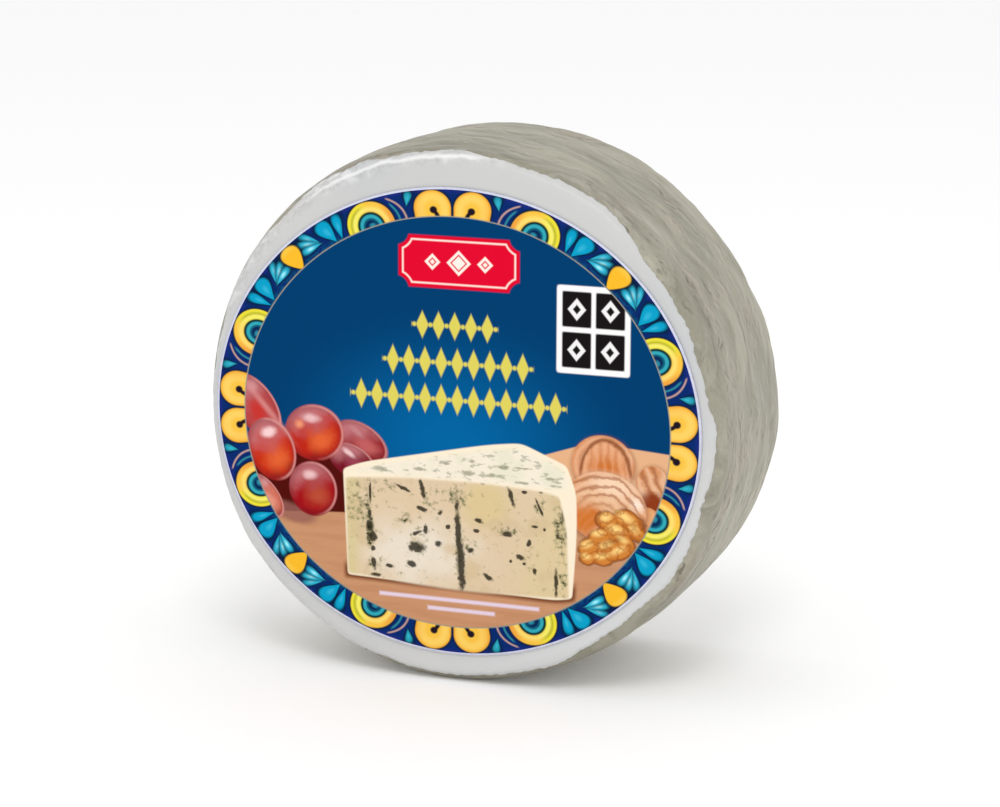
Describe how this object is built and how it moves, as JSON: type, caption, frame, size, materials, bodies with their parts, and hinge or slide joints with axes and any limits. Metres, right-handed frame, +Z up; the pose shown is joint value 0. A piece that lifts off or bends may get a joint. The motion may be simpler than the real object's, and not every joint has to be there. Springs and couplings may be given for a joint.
{
  "type": "foil-wrapped blue cheese wheel",
  "caption": "Whole round wheel of blue cheese in creased foil, standing on its rim, with a smooth pale sheet and a round printed label over one face.",
  "frame": {"origin": "bottom centre of the bounding box, on the small flat of the rim that the wheel stands on", "axes": "+Z up, +Y along the wheel's axis towards its plain back, so the labelled face looks towards -Y"},
  "size_m": [0.2022, 0.082, 0.1987],
  "materials": {
    "foil": "matt, closely creased foil, warm grey",
    "sheet": "smooth pale satin sheet",
    "label": "printed paper with a soft gloss, deep blue"
  },
  "bodies": {
    "root": {"wheel": "foil", "face_sheet": "sheet", "label": "label"}
  },
  "joints": []
}
